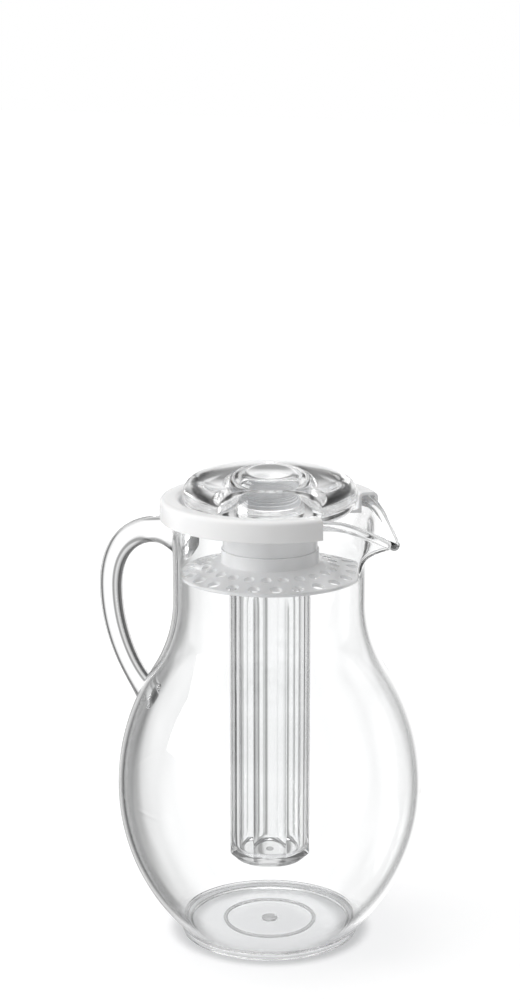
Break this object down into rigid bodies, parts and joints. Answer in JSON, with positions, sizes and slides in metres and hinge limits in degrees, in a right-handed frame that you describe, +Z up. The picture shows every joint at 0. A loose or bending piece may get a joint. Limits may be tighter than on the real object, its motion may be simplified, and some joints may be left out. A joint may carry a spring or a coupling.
{
  "type": "ice tube pitcher",
  "caption": "Clear round-bellied pitcher with a pouring lip and a rod handle; its white lid carries a strainer, a screw-in tube for ice that cools the drink, and a clear screw-in knob.",
  "frame": {"origin": "on the jug's axis, at the level of the face it stands on", "axes": "+Z up along the jug's axis, +X towards the pouring lip, -X towards the handle"},
  "size_m": [0.1797, 0.1586, 0.2518],
  "materials": {
    "clear_acrylic": "polished, water clear",
    "white_plastic": "gloss"
  },
  "bodies": {
    "jug": {"jug_lower": "clear_acrylic", "jug_upper": "clear_acrylic", "jug_lip": "clear_acrylic", "handle": "clear_acrylic"},
    "lid": {"lid": "white_plastic", "strainer": "white_plastic"},
    "ice_tube": {"ice_tube": "clear_acrylic"},
    "knob": {"knob": "clear_acrylic"}
  },
  "joints": [
    {"name": "lid_lift", "type": "slide", "parent": "jug", "child": "lid", "axis": [0, 0, 1], "range_m": [0, 0.15]},
    {"name": "knob_lift", "type": "slide", "parent": "lid", "child": "knob", "axis": [0, 0, 1], "range_m": [0, 0.057]},
    {"name": "tube_drop", "type": "slide", "parent": "lid", "child": "ice_tube", "axis": [0, 0, -1], "range_m": [0, 0.022]}
  ]
}
